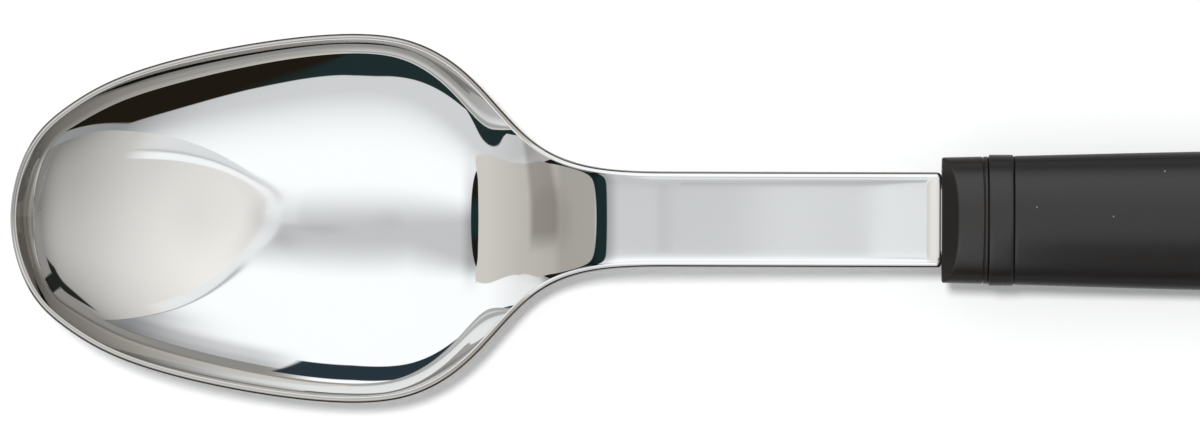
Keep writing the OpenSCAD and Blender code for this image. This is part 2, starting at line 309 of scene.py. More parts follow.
def tang_rings(x, half_width):
    """Flat bar in the point order of the blank: the top, a straight side, the underside, the other side."""
    side_z = np.linspace(1, -1, len(round_share) + len(corner) + 1)[1:]
    y = np.concatenate([across, 1 + 0 * side_z, across[-2:0:-1], -1 + 0 * side_z])
    z = np.concatenate([1 + 0 * across, side_z, -1 + 0 * across[1:-1], side_z[::-1]]) * TANG_T / 2
    return np.stack(np.broadcast_arrays(x[:, None], half_width[:, None] * y, z), -1)


round_x = np.sin(turn) * TANG_W / 2
bar_x = np.concatenate([[STEM_END, STEM_END + 40, TANG_END - TANG_W / 2], TANG_END - TANG_W / 2 + round_x])
bar_w = np.concatenate([np.full(3, TANG_W / 2), np.cos(turn) * TANG_W / 2])

# %% One closed skin for the blank
blank_stack = np.concatenate([bowl_and_neck, stem_rings, tang_rings(bar_x, bar_w)])
# Painted shade for the seen part of the blank; the hidden tang gets none.
seen_painted_shade = blank_painted_shade(np.concatenate([line, stem_stations]))
painted_shade = np.zeros(blank_stack.shape[:2], np.float32)
painted_shade[:len(seen_painted_shade)] = seen_painted_shade
blank = skin("polished_blank", blank_stack, painted_shade=painted_shade)
stand_for(blank, "spoon_blank")

# %% [markdown]
# ## Collar and band
# Two moulded rings close the front of the handle. The collar's upper front leans back, so that from above
# it shows as a dark crescent behind the stem, and a fine moulding line runs round it just before the band.
# Both are tubes: an outer skin with softened edges, two end faces and the slot for the tang. One function
# carries a rounded section through all of these as a ring of rings.

# %% Sections of the handle
POWER = 2.4
BAND_X, GRIP_X, EDGE_R = 174.8, 179.3, 0.35
angle = np.linspace(0, 2 * math.pi, 144, endpoint=False)


def oval(half_w, half_h, power=POWER):
    """Rounded section: |y / half width| to the power plus |z / half height| to the power is one."""
    c, s = np.cos(angle), np.sin(angle)
    return np.stack([
        half_w * np.sign(c) * np.abs(c) ** (2 / power), half_h * np.sign(s) * np.abs(s) ** (2 / power)], -1)


def ring(x, section):
    """A section set upright at x, where x may differ from point to point."""
    return np.column_stack([x + 0 * section[:, 0], section])


def softened(start, end, size, middle):
    """Outer rings from start to end with quarter rounds at both ends. size(x) gives half width and half
    height, and middle holds the stations between the rounds with their own inset."""
    quarter = np.linspace(0, math.pi / 2, 6)
    rows = [(start + EDGE_R * (1 - math.cos(q)), EDGE_R * (1 - math.sin(q))) for q in quarter]
    rows += list(middle)
    rows += [(end - EDGE_R * (1 - math.cos(q)), EDGE_R * (1 - math.sin(q))) for q in quarter[::-1]]
    return [(x, oval(size(x)[0] - inset, size(x)[1] - inset)) for x, inset in rows]


print("points round the handle:", len(angle))

# %% Collar with its leaning front and moulding line
LEAN_START, LEAN_TAN = 1.3, math.tan(math.radians(28))
LINE_X, LINE_W, LINE_DEPTH = 173.75, 0.45, 0.16


def lean(z):
    """How far the front stands back at height z: nothing below the lean's start, then a straight slope."""
    return np.maximum(0, z - LEAN_START) * LEAN_TAN


def collar_size(x):
    """Half width grows evenly from the stem to the band, and the height stays."""
    return 11.2 + 0.2 * (x - STEM_END) / (BAND_X - STEM_END), 6.7


groove = [(LINE_X + LINE_W * (u - 0.5), LINE_DEPTH * math.sin(math.pi * u)) for u in np.linspace(0, 1, 7)]
plain = [(x, 0.0) for x in np.linspace(STEM_END + 1, LINE_X - LINE_W, 9)]
outer = softened(STEM_END, BAND_X, collar_size, plain + groove)
tang_slot = oval(5.6, 1.0, 8)
collar_rings = []
for x, section in outer:
    share = (BAND_X - x) / (BAND_X - STEM_END)
    collar_rings.append(ring(x + lean(section[:, 1]) * share, section))
collar_rings += [ring(BAND_X, tang_slot), ring(STEM_END + lean(tang_slot[:, 1]), tang_slot)]
for k in np.linspace(0, 1, 26)[1:-1]:
    section = tang_slot * (1 - k) + outer[0][1] * k
    collar_rings.append(ring(STEM_END + lean(section[:, 1]), section))
collar = stand_for(skin("collar_ring", np.array(collar_rings), True), "front_collar")

# %% Band a little proud of its neighbours
def band_size(x):
    """The band is straight: the same half width and half height all along."""
    return 11.7, 7.1


outer = softened(BAND_X, GRIP_X, band_size, [(x, 0.0) for x in np.linspace(BAND_X + 1, GRIP_X - 1, 4)])
band_rings = [ring(x, section) for x, section in outer]
band_rings += [ring(GRIP_X, tang_slot), ring(BAND_X, tang_slot)]
band = stand_for(skin("handle_band", np.array(band_rings), True), "band_ring")

# %% [markdown]
# ## Grip sleeve
# The sleeve swells gently from the band towards the middle of the hand and then becomes flatter towards
# the end. Only its first third is in the picture. Its width and height follow two easing curves, and inside
# it has the bore for the rigid core.

# %% Sleeve that swells and flattens
HANDLE_END, CAP_X, SWELL_LEN = 305.0, 283.0, 75.0
FRONT_W, FULL_W, FRONT_H, FULL_H, END_H = 23.0, 25.8, 13.8, 16.4, 12.0
END_ROUND_W, END_ROUND_H = (19.0, 2.2), (12.0, 3.0)


def rounded_end(x, length, power):
    """One until the last stretch of the given length, then a superellipse that falls to nothing."""
    u = np.clip((x - HANDLE_END + length) / length, 0, 1)
    return (1 - u**power) ** (1 / power)


def grip_size(x):
    """Half width and half height: an eased swell, then a smooth step down in height to the hole."""
    u = min((x - GRIP_X) / SWELL_LEN, 1.0)
    swell = u * (3 - u * u) / 2
    v = min(max((x - GRIP_X - SWELL_LEN) / (HOLE_X - GRIP_X - SWELL_LEN), 0.0), 1.0)
    flat = v * v * (3 - 2 * v)
    width = FRONT_W + (FULL_W - FRONT_W) * swell
    height = FRONT_H + (FULL_H - FRONT_H) * swell - (FULL_H - END_H) * flat
    return width / 2 * rounded_end(x, *END_ROUND_W), height / 2 * rounded_end(x, *END_ROUND_H)


def stadium(half_w, half_h):
    """Bore or spigot with half-round sides: a circle whose left and right halves are moved apart."""
    c, s = np.cos(angle), np.sin(angle)
    return np.stack([half_h * c + np.sign(c) * (half_w - half_h), half_h * s], -1)


outer = softened(GRIP_X, CAP_X, grip_size, [(x, 0.0) for x in np.linspace(GRIP_X + 1, CAP_X - 1, 70)])
sleeve_rings = [ring(x, section) for x, section in outer]
BORE = (8.6, 3.9)
bore = stadium(*BORE)
sleeve_rings += [ring(CAP_X, bore), ring(GRIP_X, bore)]
sleeve = stand_for(skin("grip_skin", np.array(sleeve_rings), True), "grip_sleeve")

# %% [markdown]
# ## End cap with the hanging hole
# The cap is a rounded end with a spigot that plugs into the sleeve. The hole for a hook goes right through
# between two flat seats. A hole across a domed form is awkward to draw as rings, so the dome is made
# first and a turned cutter is taken away from it, as a drill would do on the real one. The dome ends a
# tenth of a millimetre short of the solid one, so that the rounded end stays inside the box of the solids.

# %% Cap
SPIGOT, CAP_STEPS, CAP_TIP = 6.0, 40, 304.86
spigot = stadium(8.5, 3.8)
cap_rings = [ring(CAP_X - SPIGOT, spigot * k) for k in (0.0, 0.5, 1.0)] + [ring(CAP_X, spigot)]
for q in np.linspace(0, math.pi / 2, 6):
    x = CAP_X + EDGE_R * (1 - math.cos(q))
    cap_rings.append(ring(x, oval(*(np.array(grip_size(x)) - EDGE_R * (1 - math.sin(q))))))
for q in np.linspace(0, math.pi / 2, CAP_STEPS)[1:]:
    x = CAP_TIP - (CAP_TIP - CAP_X - EDGE_R) * (1 - math.sin(q))
    cap_rings.append(ring(x, oval(*grip_size(x))))
cap_rings.append(ring(CAP_TIP, 0 * cap_rings[-1][:, 1:]))
cap = skin("hook_cap", np.array(cap_rings))

# %% Hanging hole and its seats
HOLE_R, SEAT_R, SEAT_Z, LIP, CUTTER_Z = 4.0, 6.2, 4.5, 0.25, 12.0
profile = [(0.0, CUTTER_Z), (SEAT_R + LIP, CUTTER_Z), (SEAT_R, SEAT_Z + LIP), (SEAT_R - LIP, SEAT_Z)]
profile += [(HOLE_R + LIP, SEAT_Z), (HOLE_R, SEAT_Z - LIP)]
profile += [(r, -z) for r, z in profile[::-1]]
turned = np.array([
    [[HOLE_X + r * math.cos(a), r * math.sin(a), z] for a in angle] for r, z in profile])
cutter = skin("hole_cutter", turned)
cut = cap.modifiers.new("hole", "BOOLEAN")
cut.operation, cut.solver, cut.object = "DIFFERENCE", "EXACT", cutter
bpy.context.view_layer.update()
drilled = bpy.data.meshes.new_from_object(cap.evaluated_get(bpy.context.evaluated_depsgraph_get()))
cap.modifiers.clear()
cap.data = drilled
bpy.data.objects.remove(cutter)
for face in drilled.polygons:
    face.use_smooth = True
drilled.set_sharp_from_angle(angle=math.radians(35))
stand_for(cap, "end_cap")
print("cap after the cut:", len(drilled.polygons), "faces")

# %% [markdown]
# ## Polished steel
# Polished stainless steel is a mirror that is nearly colourless, a little darker than a silvered one. It is
# never perfect: the buffing wheel leaves hair-fine lines along the spoon, and use leaves faint cloudy
# patches. Both go into the roughness and a very small bump, while the colour hardly changes, so the metal
# keeps its sharp reflections. The painted shade on the mesh darkens the colour much more in a few places.

# %% Helpers for node trees
def fresh_material(name):
    """A material with nodes: its tree, its Principled shader and its Object coordinates."""
    material = bpy.data.materials.new(name)
    material.use_nodes = True
    tree = material.node_tree
    shader = tree.nodes["Principled BSDF"]
    coords = tree.nodes.new("ShaderNodeTexCoord").outputs["Object"]
    return material, tree, shader, coords


def stretched_noise(tree, coords, scale, stretch=(1, 1, 1), detail=3.0):
    """Noise whose grains are longer in the directions in which stretch is small."""
    mapping = tree.nodes.new("ShaderNodeMapping")
    mapping.inputs["Scale"].default_value = stretch
    noise = tree.nodes.new("ShaderNodeTexNoise")
    noise.inputs["Scale"].default_value = scale
    noise.inputs["Detail"].default_value = detail
    tree.links.new(coords, mapping.inputs["Vector"])
    tree.links.new(mapping.outputs["Vector"], noise.inputs["Vector"])
    return noise.outputs["Fac"]


def ramp_to(tree, factor, low, high, start=0.0, end=1.0):
    """Maps a factor between start and end to a value between low and high."""
    node = tree.nodes.new("ShaderNodeMapRange")
    for key, value in (("From Min", start), ("From Max", end), ("To Min", low), ("To Max", high)):
        node.inputs[key].default_value = value
    tree.links.new(factor, node.inputs["Value"])
    return node.outputs["Result"]


def tinted(tree, factor, dark, light):
    """Mixes two colours, each a tuple or another node's colour, by a factor."""
    mix = tree.nodes.new("ShaderNodeMix")
    mix.data_type = "RGBA"
    for key, colour in (("A", dark), ("B", light)):
        if hasattr(colour, "is_output"):
            tree.links.new(colour, mix.inputs[key])
        else:
            mix.inputs[key].default_value = (*colour, 1)
    tree.links.new(factor, mix.inputs["Factor"])
    return mix.outputs["Result"]


def bumped(tree, shader, height, strength, distance):
    """Tiny relief from a height factor."""
    bump = tree.nodes.new("ShaderNodeBump")
    bump.inputs["Strength"].default_value = strength
    bump.inputs["Distance"].default_value = distance
    tree.links.new(height, bump.inputs["Height"])
    tree.links.new(bump.outputs["Normal"], shader.inputs["Normal"])


print("node helpers ready")

# %% Mirror steel with buffing lines
# The third colour is painted shade: the dark brown that the steel turns to where the mesh's shade is full.
STEEL_DARK, STEEL_LIGHT, SHADE_STEEL = (0.745, 0.740, 0.725), (0.775, 0.770, 0.755), (0.13, 0.105, 0.08)


def polished_steel():
    """Metal whose colour goes from polished to a dark brown by the painted shade kept on the mesh."""
    material, tree, shader, coords = fresh_material("mirror_polished_steel")
    lines = stretched_noise(tree, coords, 900, (0.03, 1, 1), 2)
    clouds = stretched_noise(tree, coords, 45, (0.5, 1, 1), 4)
    shader.inputs["Metallic"].default_value = 1.0
    painted_shade_node = tree.nodes.new("ShaderNodeAttribute")
    painted_shade_node.attribute_name = "painted_shade"
    colour = tinted(tree, clouds, STEEL_DARK, STEEL_LIGHT)
    tree.links.new(tinted(tree, painted_shade_node.outputs["Fac"], colour, SHADE_STEEL), shader.inputs["Base Color"])
    tree.links.new(ramp_to(tree, clouds, 0.012, 0.03, 0.3, 0.7), shader.inputs["Roughness"])
    bumped(tree, shader, lines, 0.02, 0.00002)
    return material


steel = polished_steel()
blank.data.materials.append(steel)
print("steel on", blank.name)

# %% [markdown]
# ## Dark moulded handle
# The handle is a nearly black plastic with a fine eggshell grain that scatters light, so it shows a broad
# pale sheen along its upper flank and no sharp highlight. A few specks of dust lie on it. The grip is a
# touch rougher than the collar and the band, so each piece gets its own grain and roughness from one
# recipe. The shine is strongest where the surface faces the eye and falls off toward the flanks.

# %% Eggshell black with dust
DUST, DUST_SIZE, ROUGH_SPAN = (0.26, 0.25, 0.24), 420, 0.05


def moulded_black(name, colour, roughness, grain):
    """Patches of 12 percent around the colour, rare specks of dust, and fine pits that vary the roughness."""
    material, tree, shader, coords = fresh_material(name)
    patches = stretched_noise(tree, coords, 60, (0.4, 1, 1), 3)
    shades = tinted(tree, patches, [0.88 * c for c in colour], [1.12 * c for c in colour])
    specks = tree.nodes.new("ShaderNodeTexVoronoi")
    specks.inputs["Scale"].default_value = DUST_SIZE
    tree.links.new(coords, specks.inputs["Vector"])
    rare = stretched_noise(tree, coords, 300, detail=1)
    near = ramp_to(tree, specks.outputs["Distance"], 1.0, 0.0, 0.05, 0.09)
    chosen = ramp_to(tree, rare, 0.0, 1.0, 0.60, 0.64)
    dust = tree.nodes.new("ShaderNodeMath")
    dust.operation = "MULTIPLY"
    tree.links.new(near, dust.inputs[0])
    tree.links.new(chosen, dust.inputs[1])
    tree.links.new(tinted(tree, dust.outputs["Value"], shades, DUST), shader.inputs["Base Color"])
    pits = stretched_noise(tree, coords, grain, detail=4)
    rough = ramp_to(tree, pits, roughness - ROUGH_SPAN, roughness + ROUGH_SPAN, 0.3, 0.7)
    tree.links.new(rough, shader.inputs["Roughness"])
    slope = tree.nodes.new("ShaderNodeLayerWeight").outputs["Facing"]
    tree.links.new(ramp_to(tree, slope, 0.6, 0.08, 0.07, 0.4), shader.inputs["Specular IOR Level"])
    bumped(tree, shader, pits, 0.25, 0.00004)
    return material


handle_finish = {
    collar: moulded_black("satin_collar_black", (0.0115, 0.0095, 0.0085), 0.34, 2600),
    band: moulded_black("satin_band_black", (0.0110, 0.0095, 0.0085), 0.33, 2600),
    sleeve: moulded_black("matte_grip_black", (0.0100, 0.0085, 0.0080), 0.37, 1900),
    cap: moulded_black("satin_cap_black", (0.0110, 0.0095, 0.0085), 0.34, 2600),
}
for piece, material in handle_finish.items():
    piece.data.materials.clear()
    piece.data.materials.append(material)
print("dark finishes:", [m.name for m in handle_finish.values()])

# %% [markdown]
# ## Core and pins
# These stay as their exact solids, because they are hidden inside the handle. They still get the finish
# that they would have: a plain grey moulding with flow marks, and drawn steel wire.

# %% Hidden core and pins
def moulded_grey():
    """Grey plastic with long flow marks."""
    material, tree, shader, coords = fresh_material("core_moulding")
    flow = stretched_noise(tree, coords, 120, (0.2, 1, 1), 3)
    tree.links.new(tinted(tree, flow, (0.08, 0.08, 0.09), (0.11, 0.11, 0.12)), shader.inputs["Base Color"])
    tree.links.new(ramp_to(tree, flow, 0.45, 0.6), shader.inputs["Roughness"])
    bumped(tree, shader, flow, 0.1, 0.0001)
    return material


def drawn_wire():
    """Steel with streaks along the pin."""
    material, tree, shader, coords = fresh_material("drawn_pin_steel")
    streaks = stretched_noise(tree, coords, 1500, (1, 1, 0.05), 2)
    shader.inputs["Metallic"].default_value = 1.0
    tree.links.new(tinted(tree, streaks, (0.6, 0.6, 0.62), (0.74, 0.74, 0.76)), shader.inputs["Base Color"])
    tree.links.new(ramp_to(tree, streaks, 0.22, 0.38), shader.inputs["Roughness"])
    bumped(tree, shader, streaks, 0.1, 0.00005)
    return material


for node, material in (("grip_core", moulded_grey()), ("tang_pins", drawn_wire())):
    nodes[node].data.materials.clear()
    nodes[node].data.materials.append(material)
print("hidden finishes on grip_core and tang_pins")

# %% [markdown]
# ## A plain white table
# The picture has a plain white ground with a soft shadow close under the spoon. The floor is an ordinary
# white surface that catches the shadow. For the camera and for reflections a share of it glows by itself,
# which lifts the ground to white without putting more light on the spoon.

# %% Floor that keeps the shadow
def level_sheet(name, x_range, y_range, z):
    """One four-sided face at height z."""
    (x_low, x_high), (y_low, y_high) = x_range, y_range
    mesh = bpy.data.meshes.new(name)
    mesh.from_pydata([(x_low, y_low, z), (x_high, y_low, z), (x_high, y_high, z), (x_low, y_high, z)], [],
                     [(0, 1, 2, 3)])
    sheet = bpy.data.objects.new(name, mesh)
    bpy.context.scene.collection.objects.link(sheet)
    return sheet


FLOOR_HALF, FLOOR_WHITE, GLOW_SHARE = 0.3, 0.98, 0.1


def white_table():
    """White paint, and for camera and reflections a mix with plain white light by the glow share."""
    material, tree, shader, coords = fresh_material("white_table")
    shader.inputs["Base Color"].default_value = (FLOOR_WHITE, FLOOR_WHITE, FLOOR_WHITE, 1)
    shader.inputs["Roughness"].default_value = 0.9
    shader.inputs["Specular IOR Level"].default_value = 0.0
    glow = tree.nodes.new("ShaderNodeEmission")
    glow.inputs["Color"].default_value = (1, 1, 1, 1)
    path = tree.nodes.new("ShaderNodeLightPath")
    seen = tree.nodes.new("ShaderNodeMath")
    seen.operation = "MAXIMUM"
    share = tree.nodes.new("ShaderNodeMath")
    share.operation = "MULTIPLY"
    share.inputs[1].default_value = GLOW_SHARE
    mix = tree.nodes.new("ShaderNodeMixShader")
    tree.links.new(path.outputs["Is Camera Ray"], seen.inputs[0])
    tree.links.new(path.outputs["Is Glossy Ray"], seen.inputs[1])
    tree.links.new(seen.outputs["Value"], share.inputs[0])
    tree.links.new(share.outputs["Value"], mix.inputs["Fac"])
    tree.links.new(shader.outputs["BSDF"], mix.inputs[1])
    tree.links.new(glow.outputs["Emission"], mix.inputs[2])
    tree.links.new(mix.outputs["Shader"], tree.nodes["Material Output"].inputs["Surface"])
    return material


floor = level_sheet("table", (-FLOOR_HALF, FLOOR_HALF), (-FLOOR_HALF, FLOOR_HALF), 0)
floor.data.materials.append(white_table())
print("floor at z = 0, glowing share", GLOW_SHARE)

# %% [markdown]
# ## The studio that the steel reflects
# A mirror has no look of its own: what it shows is the room. The reflections in the bowl tell that room:
# a white tent overhead, a cream card behind the handle, black flags low down on both sides, a grey shade
# round the lens and a narrow gap in the tent beyond the bowl's tip. Lamps and cards could be built as
# objects, but a bowl sees nearly the whole room at once, so the room is painted on the world by direction.
# Directions are written as on a flat chart held above the spoon: u to the handle and v to the upper side,
# each as the tangent of the angle from the upright.

# %% Chart of directions
world = bpy.data.worlds.new("tent_studio")
bpy.context.scene.world = world
world.use_nodes = True
sky = world.node_tree
sky.nodes.clear()


def value_of(socket, source):
    """Feeds a number or another socket into a socket."""
    if hasattr(source, "is_output"):
        sky.links.new(source, socket)
    else:
        socket.default_value = source


def calc(operation, *sources):
    """One Math node."""
    node = sky.nodes.new("ShaderNodeMath")
    node.operation = operation
    for socket, source in zip(node.inputs, sources):
        value_of(socket, source)
    return node.outputs["Value"]


# Short names for the four sums that the chart needs most.
def plus(a, b):
    return calc("ADD", a, b)


def less(a, b):
    return calc("SUBTRACT", a, b)


def times(a, b):
    return calc("MULTIPLY", a, b)


def at_least(source, least):
    return calc("MAXIMUM", source, least)


def along_axis(direction, axis):
    """Part of a direction along an axis: their dot product."""
    node = sky.nodes.new("ShaderNodeVectorMath")
    node.operation = "DOT_PRODUCT"
    sky.links.new(direction, node.inputs[0])
    node.inputs[1].default_value = tuple(axis)
    return node.outputs["Value"]


LOWEST = 0.03
direction = sky.nodes.new("ShaderNodeTexCoord").outputs["Generated"]
upright = at_least(along_axis(direction, spoon_z), LOWEST)
u = calc("DIVIDE", along_axis(direction, spoon_x), upright)
v = calc("DIVIDE", along_axis(direction, (0, 1, 0)), upright)
v_up, v_size, v_square = at_least(v, 0.0), calc("ABSOLUTE", v), times(v, v)
u_back = at_least(times(u, -1.0), 0.0)
low_down = times(v, -1.0)
far = calc("SQRT", plus(times(u, u), v_square))
print("chart axes along", np.round(spoon_x, 4), "and +Y")

# %% [markdown]
# ## Masks on the chart
# Every card, flag and shadow of the studio is a mask: one where it is and nothing elsewhere. A hard edge
# would look cut out, so each mask is a smooth step or a bell. Masks multiply, and where one is full it
# takes away a share of the light or puts another level in its place.

# %% Steps, bells and blends
def soft(source, start, end, low=0.0, high=1.0):
    """Smooth step: low before start, high after end."""
    node = sky.nodes.new("ShaderNodeMapRange")
    node.interpolation_type = "SMOOTHSTEP"
    value_of(node.inputs["Value"], source)
    for key, value in (("From Min", start), ("From Max", end), ("To Min", low), ("To Max", high)):
        value_of(node.inputs[key], value)
    return node.outputs["Result"]


def fading(source, start, end):
    """Smooth step down: one before start, nothing after end."""
    return soft(source, start, end, 1.0, 0.0)


def bell(source, centre, half_width):
    """Bump of height one: e to the minus square of the distance over the half width."""
    offset = calc("DIVIDE", less(source, centre), half_width)
    return calc("POWER", math.e, times(times(offset, offset), -1.0))


def both(*masks):
    """Product of masks."""
    result = masks[0]
    for mask in masks[1:]:
        result = times(result, mask)
    return result


def dimmed(level, mask, share):
    """The level, less a share of itself where the mask is one."""
    return times(level, less(1.0, times(mask, share)))


def blended(level, other, mask):
    """The level where the mask is nothing, and the other where it is one."""
    return plus(times(level, less(1.0, mask)), times(other, mask))


print("mask helpers ready")

# %% [markdown]
# ## Tent and lens shade
# A tent of white cloth hangs over the table. Its lower side gets less light, and the camera's lens looks
# through it, which shows as a grey stripe in the middle of the bowl and as faint marks on the stem. We could
# hang real cloth, but then each fold would have to be moved by trial. Here each shadow has its place written
# down.

# %% Tent, lens shade and lens marks
TENT, LOWER_SIDE, LOWER_CORNER = 1.32, 0.37, 0.55
tent = dimmed(TENT, soft(low_down, 0.35, 1.3), LOWER_SIDE)
tent = dimmed(tent, both(soft(low_down, 0.3, 1.2), soft(u, 0.1, 0.95)), LOWER_CORNER)

SHADE, SHADE_SLANT, LESS_OVER_STEM = 0.45, 0.32, 0.25
shade_shift = times(at_least(less(u_back, 0.2), 0.0), SHADE_SLANT)
shade_end = fading(less(v, shade_shift), 0.10, 0.38)
lens_shade = both(soft(v, -0.22, 0.06), shade_end, fading(u, 0.04, 0.12))
over_stem = both(soft(u, 0.0075, 0.011), fading(v, 0.01, 0.05))
tent = dimmed(tent, dimmed(lens_shade, over_stem, LESS_OVER_STEM), SHADE)

# Each mark: place u and v, half widths along u and v, share of the light that it takes.
LENS_MARKS = (
    (0.0, 0.06, 0.012, 0.03, 0.12), (-0.10, 0.0, 0.055, 0.05, 0.08), (0.018, 0.12, 0.006, 0.07, 0.12))
for mark_u, mark_v, u_wide, v_wide, share in LENS_MARKS:
    tent = dimmed(tent, both(bell(u, mark_u, u_wide), bell(v, mark_v, v_wide)), share)
print("tent level", TENT)

# %% Far end, upper side and sill
FOLD, FAR_CLOUD = 0.61, 0.42
w = less(times(u, -1.0), times(v_square, FOLD))
tent = dimmed(tent, both(soft(w, 0.78, 1.2), bell(v, 0.1, 0.65)), FAR_CLOUD)

slant = calc("DIVIDE", u, at_least(v, 0.5))
right_of_sill = soft(slant, 0.08, 0.16)
UPPER_STEPS, UPPER_CORNER = ((1.4, 2.2, 0.35), (2.2, 3.6, 0.21)), 0.6
for start, end, share in UPPER_STEPS:
    tent = dimmed(tent, both(soft(v, start, end), right_of_sill), share)
tent = dimmed(tent, both(soft(slant, 0.12, 0.5), soft(v, 0.7, 1.4)), UPPER_CORNER)

SILL_LEVEL = 0.345
sill = both(soft(v, 4.5, 4.9), right_of_sill)
tent = blended(tent, SILL_LEVEL, sill)
print("sill level", SILL_LEVEL)

# %% [markdown]
# ## Cream card behind the handle
# The leaf-shaped patch in the front of the bowl is the mirror image of one large cream card that stands
# behind the handle. On the chart its edge is a curve that runs straight far out and is rounded at the tip,
# which is what a hyperbola does. The card gets darker with distance from the lamp, and its pale hem gives
# the leaf its bright border.

# %% Edge and level of the card
def bent(distance, slope, flat):
    """Hyperbola: root of (flat squared plus (slope times distance) squared), less flat."""
    rise = times(times(distance, distance), slope * slope)
    return less(calc("SQRT", plus(rise, flat * flat)), flat)


CARD_TIP, LOWER_FROM, LOWER_BEND, UPPER_BEND = 0.0155, 0.07, (1.5, 2.0), (0.75, 0.72)
lower_edge = bent(at_least(less(low_down, LOWER_FROM), 0.0), *LOWER_BEND)
card_edge = plus(lower_edge, bent(v_up, *UPPER_BEND))
leaf = less(less(u, CARD_TIP), card_edge)
card_mask = soft(leaf, 0.0, 0.0012)

CARD_LEVEL, CARD_FALL, CARD_END = 1.15, 0.85, 3.2
card = calc("DIVIDE", CARD_LEVEL, plus(times(calc("MINIMUM", u, CARD_END), CARD_FALL), 1.0))
card = times(card, soft(v, -0.6, 0.6, 0.92, 1.10))
card = dimmed(card, both(fading(u, 0.1, 0.25), bell(v, 0.0, 0.3)), 0.09)
print("card edge is a hyperbola on the chart")

# %% Pale hem of the card
HEM_W, HEM_WIDER_UP, HEM_WIDER_LOW = 0.0075, 0.09, 1.9
hem_w = plus(times(times(v_up, v_up), HEM_WIDER_UP), HEM_W)
hem_w = plus(hem_w, times(calc("POWER", at_least(low_down, 0.0), 4.0), HEM_WIDER_LOW))
hem_share = calc("DIVIDE", leaf, hem_w)
hem = both(fading(hem_share, 0.9, 1.1), fading(u, 0.3, 0.6))
card = dimmed(card, both(fading(hem_share, 1.0, 3.5), bell(v, 0.03, 0.22)), 0.16)

LOWER_HEM, UPPER_HEM = 1.22, 1.08
lower_hem = soft(low_down, 0.05, 0.15)
hem_level = soft(v, -0.05, 0.05, LOWER_HEM, UPPER_HEM)
hem_level = dimmed(hem_level, both(fading(hem_share, 0.2, 0.35), lower_hem), 0.22)
hem_level = dimmed(hem_level, both(bell(hem_share, 0.36, 0.09), lower_hem), 0.42)
level = blended(tent, blended(card, hem_level, hem), card_mask)
level = dimmed(level, both(bell(leaf, 0.0, 0.004), soft(v, 0.25, 0.4)), 0.55)
level = dimmed(level, both(bell(u, 0.021, 0.006), bell(v, 0.0, 0.12)), 0.14)
print("hem level", LOWER_HEM, "on the lower side and", UPPER_HEM, "on the upper one")

# %% [markdown]
# ## Wall and gap beyond the tip
# The neck slopes toward the tip, so it mirrors the room beyond it: a warm grey wall, and in front of it a
# dark gap where the tent ends. The neck shows the gap twice, as a crescent at the bowl and as a band at the
# stem. Both come from one mask, as they do from one gap in a real room.

# %% Wall and dark gap
wall_start = soft(v_size, 0.45, 0.8, 1.42, 1.32)
past_start = less(w, wall_start)
side_room = plus(times(u_back, 0.5), soft(u_back, 1.8, 1.95, 0.25, 0.0))
beside = fading(less(v_size, side_room), -0.02, 0.02)
off_card = less(1.0, card_mask)
beyond = both(soft(past_start, 0.0, 0.02), beside, off_card)
WALL_NEAR, WALL_FAR = 0.79, 0.70
level = blended(level, soft(w, 1.9, 2.3, WALL_NEAR, WALL_FAR), beyond)

GAP_START, GAP_CURVE = 1.13, 0.6
gap_start = plus(times(v_square, GAP_CURVE), GAP_START)
gap = both(soft(less(w, gap_start), 0.0, 0.03), fading(past_start, 0.0, 0.02), fading(v_size, 0.58, 0.66))
print("wall level", WALL_NEAR, "to", WALL_FAR)

# %% [markdown]
# ## Black flags and a lamp stand
# Flags are black cloths that a photographer sets low down beside a mirror, because without dark edges steel
# looks like white paper. They give the dark bands under the rim on both sides. A lamp stand shows as a small
# dark fork near the tip: an upright post and a slanted foot.

# %% Flags on both sides and the seam
FLAG_START, FLAG_END, FLAG_TURN = (1.58, 1.66), (-0.72, -0.62), 0.93
bulge = times(bell(u, 0.12, 0.25), 0.32)
flag_edge = less(less(low_down, bulge), times(u_back, 0.65))
flag_edge = less(flag_edge, soft(u_back, 0.0, 0.4, 0.0, 0.13))
flag_body = both(soft(flag_edge, *FLAG_START), fading(plus(u, times(v, FLAG_TURN)), *FLAG_END))
flag_slope = calc("DIVIDE", low_down, at_least(u_back, 0.5))
off_middle = less(flag_slope, 0.577)
corner_start = times(times(off_middle, off_middle), 55.0)
flag_corner = both(
    soft(less(far, corner_start), 3.8, 4.1),
    soft(flag_slope, 0.53, 0.56),
    fading(flag_slope, 0.9, 1.0),
    soft(u_back, 0.5, 1.0),
)
flag_low = calc("MAXIMUM", flag_body, flag_corner)
flag_high = both(
    soft(less(v, times(u_back, 0.8)), 2.15, 2.25),
    fading(less(v, times(u_back, 3.0)), 6.8, 8.2),
    fading(less(u, times(v, 0.16)), -0.14, -0.11),
)
seam = both(bell(v, 4.6, 0.25), right_of_sill, off_card)
print("flags placed")

# %% Stand: post and foot
POST_U, POST_V = (2.05, 2.25, 2.95, 3.2), (1.15, 1.35, 2.9, 3.2)
post = both(soft(u, *POST_U[:2]), fading(u, *POST_U[2:]), soft(v, *POST_V[:2]), fading(v, *POST_V[2:]))
FOOT_LOW, FOOT_HIGH = 0.62, 0.88
foot = both(
    soft(u, 2.4, 2.6),
    soft(less(v, times(u, FOOT_LOW)), -0.1, 0.1),
    fading(less(v, times(u, FOOT_HIGH)), -0.1, 0.1),
)
stand = calc("MAXIMUM", post, foot)
print("stand placed")

# %% [markdown]
# ## Colours of the room
# The tent is a cool white, the card cream and the wall warmer still, and the black cloths are never quite
# black: brown where the warm wall lights them and teal where the cool tent does. The camera sees plain white
# past the table. The full level is kept for mirrors, and soft surfaces get a plain share of it, so that the
# handle keeps its own colour.

